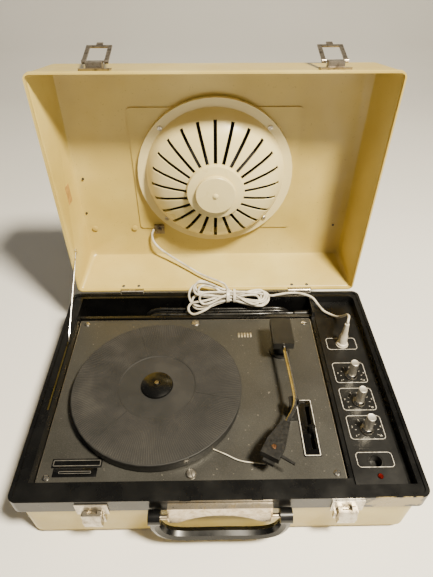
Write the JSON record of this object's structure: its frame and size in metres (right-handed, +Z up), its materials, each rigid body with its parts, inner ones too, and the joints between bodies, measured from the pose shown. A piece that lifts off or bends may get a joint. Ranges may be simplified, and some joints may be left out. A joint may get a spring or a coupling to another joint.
{
  "type": "turntable record player",
  "caption": "Portable record player in a carrying case: deck with platter and tonearm, side control panel, loudspeaker in the hinged lid, catches and carrying handle.",
  "frame": {"origin": "bottom centre of everything but the cords, on the floor the feet stand on, with the lid open at a right angle", "axes": "+Z up; -Y towards the user, out of the case's front with the handle; +X to the user's right, where the controls are"},
  "size_m": [0.412, 0.3904, 0.3991],
  "materials": {
    "cream_shell": "moulded cream plastic, satin gloss, aged",
    "black_moulding": "moulded black plastic, glossy",
    "foot_rubber": "moulded black rubber",
    "deck_paint": "dark grey painted sheet steel",
    "spindle_steel": "turned steel",
    "platter_metal": "pressed steel, painted black",
    "mat_rubber": "ribbed black rubber",
    "adaptor_plastic": "moulded black plastic",
    "drive_rubber": "ground rubber tyre",
    "drive_steel": "pressed and laminated steel",
    "drive_brass": "turned brass",
    "transformer_iron": "varnished iron laminations",
    "arm_plastic": "moulded black plastic",
    "arm_chrome": "bright chrome plate",
    "control_plastic": "moulded black plastic with printed lines",
    "knob_aluminium": "knurled and spun aluminium",
    "circuit_board": "phenolic board with components",
    "socket_plastic": "moulded black plastic",
    "lamp_lens": "moulded red lens",
    "nickel_plate": "plated pressed steel, tarnished",
    "grip_plastic": "moulded black plastic grip",
    "stay_wire": "bright steel wire",
    "grille_enamel": "stamped sheet metal, pale enamel",
    "magnet_ferrite": "bare magnet",
    "cone_paper": "pressed paper cone in a black steel basket",
    "terminal_metal": "plated steel",
    "white_cord": "white flexible sheathing",
    "black_cord": "black flexible sheathing"
  },
  "bodies": {
    "base": {"base_shell": "cream_shell", "deck_frame": "black_moulding", "foot_front_left": "foot_rubber", "foot_front_right": "foot_rubber", "foot_rear_left": "foot_rubber", "foot_rear_right": "foot_rubber", "deck_plate": "deck_paint", "spindle_bearing": "spindle_steel", "idler_bracket": "drive_steel", "motor": "drive_steel", "mains_transformer": "transformer_iron", "tonearm_post": "arm_plastic", "arm_rest": "arm_plastic", "speed_plate": "control_plastic", "control_panel": "control_plastic", "amplifier_board": "circuit_board", "speaker_socket": "socket_plastic", "auxiliary_socket": "socket_plastic", "pilot_lamp": "lamp_lens", "handle_bracket": "nickel_plate", "catch_plate_left": "nickel_plate", "catch_plate_right": "nickel_plate", "hinge_leaf_left": "nickel_plate", "hinge_leaf_right": "nickel_plate", "speaker_lead_hank": "white_cord", "speaker_lead_base": "white_cord", "speaker_plug": "white_cord", "mains_gland": "black_cord", "mains_lead_hank": "black_cord", "mains_plug": "black_cord"},
    "lid": {"lid_shell": "cream_shell", "lid_hinge_leaf_left": "nickel_plate", "lid_hinge_leaf_right": "nickel_plate", "speaker_grille": "grille_enamel", "speaker_magnet": "magnet_ferrite", "speaker_driver": "cone_paper", "speaker_terminal": "terminal_metal", "hasp_plate_left": "nickel_plate", "hasp_plate_right": "nickel_plate", "speaker_lead_lid": "white_cord"},
    "lid_stay": {"lid_stay": "stay_wire"},
    "hasp_left": {"hasp_left": "nickel_plate"},
    "hasp_right": {"hasp_right": "nickel_plate"},
    "catch_lever_left": {"catch_lever_left": "nickel_plate"},
    "catch_lever_right": {"catch_lever_right": "nickel_plate"},
    "carrying_handle": {"carrying_handle": "grip_plastic"},
    "platter": {"platter": "platter_metal", "platter_mat": "mat_rubber"},
    "record_centre_adaptor": {"record_centre_adaptor": "adaptor_plastic"},
    "idler": {"idler_wheel": "drive_rubber"},
    "pulley": {"motor_pulley": "drive_brass"},
    "arm_yoke": {"tonearm_yoke": "arm_chrome"},
    "tonearm": {"tonearm_housing": "arm_plastic", "tonearm_tube": "arm_chrome", "headshell": "arm_plastic", "cartridge": "arm_plastic"},
    "speed_lever": {"speed_lever": "control_plastic"},
    "bass_knob": {"bass_knob": "knob_aluminium"},
    "treble_knob": {"treble_knob": "knob_aluminium"},
    "volume_knob": {"volume_knob": "knob_aluminium"}
  },
  "joints": [
    {"name": "lid_hinge", "type": "hinge", "parent": "base", "child": "lid", "pos_m": [0, 0.12239, 0.0856], "axis": [1, 0, 0], "range_deg": [0, 90], "deforming": ["speaker_lead_lid"]},
    {"name": "stay_pivot", "type": "hinge", "parent": "lid", "child": "lid_stay", "pos_m": [-0.1932, 0.13769, 0.1485], "axis": [1, 0, 0], "range_deg": [-112.7, 0]},
    {"name": "hasp_left_pivot", "type": "hinge", "parent": "lid", "child": "hasp_left", "pos_m": [-0.1255, 0.14119, 0.3901], "axis": [1, 0, 0], "range_deg": [-28, 168]},
    {"name": "hasp_right_pivot", "type": "hinge", "parent": "lid", "child": "hasp_right", "pos_m": [0.1255, 0.14119, 0.3901], "axis": [1, 0, 0], "range_deg": [-28, 168]},
    {"name": "catch_lever_left_pivot", "type": "hinge", "parent": "base", "child": "catch_lever_left", "pos_m": [-0.1255, -0.18211, 0.051], "axis": [1, 0, 0], "range_deg": [0, 100]},
    {"name": "catch_lever_right_pivot", "type": "hinge", "parent": "base", "child": "catch_lever_right", "pos_m": [0.1255, -0.18211, 0.051], "axis": [1, 0, 0], "range_deg": [0, 100]},
    {"name": "handle_swing", "type": "hinge", "parent": "base", "child": "carrying_handle", "pos_m": [0, -0.18731, 0.067], "axis": [-1, 0, 0], "range_deg": [0, 100]},
    {"name": "platter_spin", "type": "hinge", "parent": "base", "child": "platter", "pos_m": [-0.0715, -0.04461, 0.079], "axis": [0, 0, 1], "continuous": true},
    {"name": "adaptor_lift", "type": "slide", "parent": "platter", "child": "record_centre_adaptor", "axis": [0, 0, 1], "range_m": [0, 0.02]},
    {"name": "idler_spin", "type": "hinge", "parent": "base", "child": "idler", "pos_m": [-0.12573, 0.00962, 0.075], "axis": [0, 0, 1], "continuous": true},
    {"name": "pulley_spin", "type": "hinge", "parent": "base", "child": "pulley", "pos_m": [-0.13405, -0.01321, 0.075], "axis": [0, 0, 1], "continuous": true},
    {"name": "arm_swing", "type": "hinge", "parent": "base", "child": "arm_yoke", "pos_m": [0.082, 0.02089, 0.092], "axis": [0, 0, -1], "range_deg": [0, 38]},
    {"name": "arm_lift", "type": "hinge", "parent": "arm_yoke", "child": "tonearm", "pos_m": [0.082, 0.02089, 0.099], "axis": [1, 0, 0], "range_deg": [-20, 0]},
    {"name": "speed_slide", "type": "slide", "parent": "base", "child": "speed_lever", "axis": [0, 1, 0], "range_m": [-0.018, 0.028]},
    {"name": "bass_turn", "type": "hinge", "parent": "base", "child": "bass_knob", "pos_m": [0.165, -0.02411, 0.084], "axis": [0, 0, 1], "range_deg": [-140, 140]},
    {"name": "treble_turn", "type": "hinge", "parent": "base", "child": "treble_knob", "pos_m": [0.165, -0.06261, 0.084], "axis": [0, 0, 1], "range_deg": [-140, 140]},
    {"name": "volume_turn", "type": "hinge", "parent": "base", "child": "volume_knob", "pos_m": [0.165, -0.09911, 0.084], "axis": [0, 0, 1], "range_deg": [-140, 140]}
  ],
  "couplings": [
    {"joint": "stay_pivot", "follows": "lid_hinge", "ratio": -1.2511}
  ]
}
